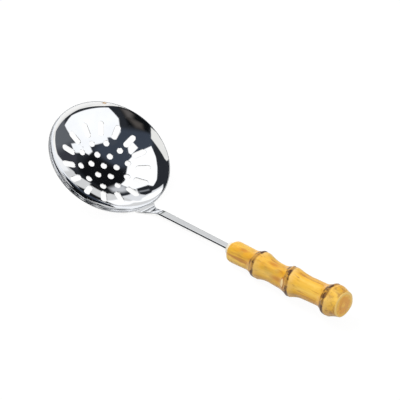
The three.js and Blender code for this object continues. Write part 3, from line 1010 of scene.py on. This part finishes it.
def bamboo_material():
    material, nodes, shader = new_material("lacquered_bamboo")
    place = nodes.place_in(handle_matrix())
    colour = bamboo_skin(nodes, place)
    colour = colour_nodes(nodes, place, colour)
    colour = colour_spots(nodes, place, colour)
    is_cut = nodes.math("GREATER_THAN", nodes.axes(place)[0], CUT_START)
    colour = nodes.mix(is_cut, colour, cut_face(nodes, place))
    fibres = nodes.noise(place, FIBRES)
    nodes.join(colour, shader.inputs["Base Color"])
    nodes.join(nodes.fade(fibres, FIBRE_ROUGHNESS), shader.inputs["Roughness"])
    shader.inputs["Coat Weight"].default_value = LACQUER
    shader.inputs["Coat Roughness"].default_value = LACQUER_ROUGHNESS
    nodes.join(nodes.bump(fibres, FIBRE_BUMP), shader.inputs["Normal"])
    return material


# Filler

FILLER_TINTS = ((0.3, srgb(232, 220, 192)), (0.7, srgb(250, 246, 232)))
FILLER_LUMPS = Noise(900.0, detail=4.0)
FILLER_BUMP = Bump(strength=0.4, distance=0.0002)
FILLER_ROUGHNESS = 0.55


def adhesive_material():
    material, nodes, shader = new_material("cream_filler")
    lumps = nodes.noise(nodes.place(), FILLER_LUMPS)
    nodes.join(nodes.ramp(lumps, FILLER_TINTS), shader.inputs["Base Color"])
    shader.inputs["Roughness"].default_value = FILLER_ROUGHNESS
    nodes.join(nodes.bump(lumps, FILLER_BUMP), shader.inputs["Normal"])
    return material


# Studio

WHITE = (1.0, 1.0, 1.0, 1.0)
ROOM_GREY = (0.025, 0.028, 0.034, 1.0)
CARD_WHITE = (1.2, 1.2, 1.2)
SOFTBOX_WHITE = (1.13, 1.14, 1.15)
WALL_GREY = (0.74, 0.74, 0.735)
HIGH_GREY = (0.86, 0.865, 0.88)
GAP_BLACK = (0.012, 0.012, 0.013)
WORLD_FILL = 0.55


class Panel(NamedTuple):
    """A panel in the mirrored room. Its corners are pairs of azimuth from +X and elevation."""
    name: str
    corners: tuple
    colour: tuple
    softness: float


# Panels round the spoon, in degrees. Each one covers those before it
PANELS = (
    Panel("blue_screen", ((-64, 44), (-66, 64), (0, 80), (62, 66), (46, 44), (0, 40)), (0.05, 0.062, 0.085),
          8.0),
    Panel("dark_curtain", ((52, 42), (84, 30), (110, 46), (92, 70), (64, 70)), (0.006, 0.0065, 0.008), 8.0),
    Panel("slate_wall", ((56, -3), (56, 30), (84, 30), (90, 12), (75, -3)), (0.045, 0.046, 0.058), 3.0),
    Panel("slate_light", ((54, -3), (54, 26), (74, 16), (84, 7), (75, -3)), (0.135, 0.145, 0.16), 8.0),
    Panel("side_table", ((67, -6), (87.5, 9.5), (98, 10), (98, -6)), (1.08, 1.06, 1.02), 1.5),
    Panel("dark_corner", ((-22, -2), (-20, 40), (-56, 44), (-68, 22), (-60, -2)), (0.005, 0.006, 0.007), 6.0),
    Panel("photographer", ((-24, 8), (-24, 27), (-31, 29), (-40, 14), (-36, 6)), (0.12, 0.11, 0.105), 10.0),
    Panel("camera_hands", ((-26, 31), (-32, 42), (-44, 43), (-47, 33), (-36, 30)), (0.09, 0.08, 0.073), 9.0),
    Panel("far_table", ((-28, -5), (-22, 0.3), (-2, 4.5), (15, 1.5), (40, -3)), (1.05, 1.03, 0.99), 1.0),
    Panel("left_wall", ((86.2, -4), (86.5, 14), (88, 24.5), (92, 31), (118, 48), (168, 44), (168, 10),
          (150, -4)), WALL_GREY, 1.5),
    Panel("wall_patch", ((90.5, 28), (91.6, 31.2), (94.9, 36.2), (96.5, 34), (96, 30)), WALL_GREY, 1.0),
    Panel("left_card", ((86, -4), (86.5, 16), (91, 20), (97, 12), (95, -4)), (1.05, 1.05, 1.05), 2.0),
    Panel("first_step", ((88.2, 26), (90, 25.2), (91.4, 31.2), (90, 32)), GAP_BLACK, 0.8),
    Panel("wall_step", ((95.3, 37.5), (96.8, 34), (108.2, 40.8), (108.7, 45.5)), GAP_BLACK, 1.0),
    Panel("low_card", ((117, 30), (118.5, 41), (133, 43), (131, 36), (125, 30)), CARD_WHITE, 2.5),
    Panel("rim_card", ((128, 40), (130, 45.5), (172, 44), (166, 39.5)), CARD_WHITE, 2.0),
    Panel("neck_card", ((124, -4), (124, 10), (158, 10), (158, -4)), CARD_WHITE, 2.0),
    Panel("neck_dark", ((130, 9.5), (130, 15), (160, 15), (160, 9.5)), (0.015, 0.015, 0.015), 1.5),
    Panel("neck_grey", ((130, 15), (130, 24.5), (160, 24.5), (160, 15)), (0.28, 0.3, 0.275), 1.5),
    Panel("high_wall", ((117.5, 47.5), (124, 56), (165, 56.5), (178, 53), (172, 42), (150, 44), (134, 44)),
          HIGH_GREY, 1.5),
    Panel("high_step", ((121.5, 54.5), (125.5, 62.5), (134, 56), (134, 50)), HIGH_GREY, 1.5),
    Panel("high_card", ((138, 44.5), (139, 49), (148, 53.5), (163, 54), (172, 49), (170, 41)),
          CARD_WHITE, 2.0),
    Panel("grey_patch", ((101, 48.5), (99, 56), (104, 61.5), (116, 58), (113, 53), (107, 47.5)),
          (0.62, 0.63, 0.65), 5.0),
    Panel("wall_lamp", ((103.5, 17.5), (105, 26), (113, 30), (122, 29), (123, 25), (114, 17), (108, 14)),
          GAP_BLACK, 2.0),
    Panel("right_softbox", ((-6, 9), (-11, 30), (-4, 46), (9, 51), (54, 33.5), (55, 6.5), (42, 2.5),
          (16, 6.5)), SOFTBOX_WHITE, 1.5),
    Panel("softbox_corner", ((46, 39.5), (50.3, 43), (57.2, 41), (58, 36), (46, 32)), SOFTBOX_WHITE, 1.5),
    Panel("softbox_side", ((54, 36.5), (57.8, 37.2), (66.3, 28.8), (61, 23.5), (53, 29)), SOFTBOX_WHITE, 1.5),
    Panel("softbox_notch", ((15, 46.5), (18.5, 45.5), (23, 50), (22, 54), (10, 54), (12, 50)),
          (0.06, 0.07, 0.09), 1.5),
    Panel("top_softbox", ((-60, 62.5), (-33, 69.3), (-16, 70.3), (5, 72.3), (27, 72.5), (95, 66),
          (104, 61.5), (126, 62), (158.4, 65), (175, 69.8), (-131, 77), (-86, 72)), CARD_WHITE, 1.0),
    Panel("softbox_tip", ((94.5, 66.5), (99.5, 60), (110, 61.5), (106, 66.5)), CARD_WHITE, 1.0),
    Panel("softbox_flap", ((-10, 57.5), (-15, 59), (-22, 66.5), (6, 70.5), (8, 68), (2, 64)),
          CARD_WHITE, 1.0),
    Panel("lamp_notch", ((124, 63.5), (134.7, 67.1), (146.6, 68.8), (157, 65), (152, 55.5), (142, 54),
          (134, 56)), (0.02, 0.022, 0.027), 1.5),
    Panel("notch_streak", ((131, 59), (131.5, 61), (147, 62.5), (148, 60.5)), (0.3, 0.31, 0.33), 2.5),
    Panel("front_card", ((-128, 54), (-118, 59), (-92, 60), (-70, 56), (-60, 52), (-62.5, 41), (-68, 27),
          (-90, 24), (-132, 40)), (0.95, 0.94, 0.9), 2.0),
)


def direction(azimuth, elevation):
    a, e = math.radians(azimuth), math.radians(elevation)
    return Vector((math.cos(a) * math.cos(e), math.sin(a) * math.cos(e), math.sin(e)))


def panel_mask(nodes, toward, panel):
    """1 where a direction meets a panel with straight edges, 0 elsewhere."""
    spots = [direction(*corner) for corner in panel.corners]
    middle = sum(spots, Vector((0, 0, 0)))
    inside = 1.0
    for here, after in zip(spots, spots[1:] + spots[:1]):
        square = here.cross(after).normalized()
        if square.dot(middle) < 0:
            square.negate()
        reach = nodes.add("ShaderNodeVectorMath", operation="DOT_PRODUCT")
        nodes.join(toward, reach.inputs[0])
        reach.inputs[1].default_value = square
        inside = nodes.math("MINIMUM", reach.outputs["Value"], inside)
    half = math.sin(math.radians(panel.softness)) / 2
    return nodes.fade(inside, Fade(-half, half))


def mirrored_room(nodes):
    """The colour of the room in each direction, as the mirror finish shows it."""
    toward = nodes.add("ShaderNodeTexCoord").outputs["Generated"]
    room = ROOM_GREY
    for panel in PANELS:
        room = nodes.mix(panel_mask(nodes, toward, panel), room, (*panel.colour, 1.0))
        room.node.label = panel.name
    return room


def background(nodes, colour, strength=1.0):
    node = nodes.add("ShaderNodeBackground")
    nodes.feed(node.inputs["Color"], colour)
    node.inputs["Strength"].default_value = strength
    return node.outputs[0]


def is_seen(nodes, path):
    """1 for what the camera sees directly or through something clear."""
    return nodes.math("MAXIMUM", path.outputs["Is Camera Ray"], path.outputs["Is Transmission Ray"])


def make_world():
    world = bpy.data.worlds.new("studio")
    bpy.context.scene.world = world
    world.use_nodes = True
    nodes = Nodes(world.node_tree)
    path = nodes.add("ShaderNodeLightPath")
    fill = background(nodes, WHITE, WORLD_FILL)
    room = background(nodes, mirrored_room(nodes))
    unseen = nodes.mix_shaders(path.outputs["Is Glossy Ray"], fill, room)
    shown = nodes.mix_shaders(is_seen(nodes, path), unseen, background(nodes, WHITE))
    output = nodes.add("ShaderNodeOutputWorld")
    nodes.join(shown, output.inputs[0])


FLOOR_SIZE = 3000.0
FLOOR_SHADOW = 0.05  # how much of the table's own light and shade the camera sees
MIRRORED_SHADOW = 0.65  # and how much of it shows in the steel
FLOOR_WHITE = (1.31, 1.31, 1.31, 1.0)  # lit by this studio, it comes out white
FLOOR_BOUNCE = (0.4, 0.4, 0.4, 1.0)  # what the table throws back on the spoon's underside
FLOOR_IN_STEEL = (1.0, 0.985, 0.955, 1.0)


def floor_material():
    """A table that is white to the camera with a faint shadow, and cream with more shade in the steel."""
    material = bpy.data.materials.new("white_table")
    material.use_nodes = True
    nodes = Nodes(material.node_tree)
    path = nodes.add("ShaderNodeLightPath")
    in_steel = path.outputs["Is Glossy Ray"]
    lit = nodes.add("ShaderNodeBsdfDiffuse")
    lit_colour = nodes.mix(in_steel, FLOOR_WHITE, FLOOR_IN_STEEL)
    nodes.join(nodes.mix(path.outputs["Is Diffuse Ray"], lit_colour, FLOOR_BOUNCE), lit.inputs["Color"])
    glow = nodes.add("ShaderNodeEmission")
    nodes.join(nodes.mix(in_steel, WHITE, FLOOR_IN_STEEL), glow.inputs["Color"])
    shown = nodes.math("MULTIPLY", is_seen(nodes, path), 1 - FLOOR_SHADOW)
    mirrored = nodes.math("MULTIPLY", in_steel, 1 - MIRRORED_SHADOW)
    share = nodes.math("MAXIMUM", shown, mirrored)
    output = nodes.add("ShaderNodeOutputMaterial")
    nodes.join(nodes.mix_shaders(share, lit.outputs[0], glow.outputs[0]), output.inputs[0])
    return material


def make_floor():
    half = FLOOR_SIZE / 2
    corners = [(-half, -half, 0), (half, -half, 0), (half, half, 0), (-half, half, 0)]
    floor = new_object("white_table", corners, [(0, 1, 2, 3)])
    floor.data.materials.append(floor_material())


def make_lamp(name, azimuth, elevation, distance, size, power):
    """A soft square lamp that points at the spoon. The mirror finish sees the panels and not the lamp."""
    light = bpy.data.lights.new(name, "AREA")
    light.size = size
    light.energy = power
    lamp = bpy.data.objects.new(name, light)
    bpy.context.scene.collection.objects.link(lamp)
    toward = direction(azimuth, elevation)
    lamp.location = toward * distance
    lamp.rotation_euler = toward.to_track_quat("Z", "Y").to_euler()
    lamp.visible_glossy = False


def make_camera():
    az, el = math.radians(VIEW_AZIMUTH), math.radians(VIEW_ELEVATION)
    forward = Vector((-math.sin(az) * math.cos(el), math.cos(az) * math.cos(el), -math.sin(el)))
    right = Vector((math.cos(az), math.sin(az), 0))
    up = right.cross(forward)
    rim = Vector((SPOON_SHIFT, 0, RIM_HEIGHT))
    eye = rim - forward * RIM_DISTANCE + right * RIM_LEFT_OF_CENTRE - up * RIM_ABOVE_CENTRE
    data = bpy.data.cameras.new("camera")
    data.sensor_width = SENSOR_MM
    data.lens = FOCAL_PIXELS / IMAGE_PIXELS * SENSOR_MM
    data.clip_start = NEAREST_SEEN * MM
    data.clip_end = FARTHEST_SEEN * MM
    camera = bpy.data.objects.new("camera", data)
    camera.location = eye * MM
    camera.rotation_euler = (math.pi / 2 - el, 0, az)
    bpy.context.scene.collection.objects.link(camera)
    bpy.context.scene.camera = camera


def make_spoon():
    steel = steel_material()
    make_bowl(steel)
    make_shank(steel)
    make_handle(bamboo_material())
    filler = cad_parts["tang_adhesive"]
    filler.data.materials.clear()
    filler.data.materials.append(adhesive_material())


make_camera()
make_spoon()
make_world()
make_floor()
make_lamp("key_lamp", azimuth=-150.0, elevation=62.0, distance=1.2, size=0.7, power=9.0)
make_lamp("fill_lamp", azimuth=-20.0, elevation=40.0, distance=1.4, size=0.9, power=4.0)
bpy.context.scene.view_settings.view_transform = "Standard"
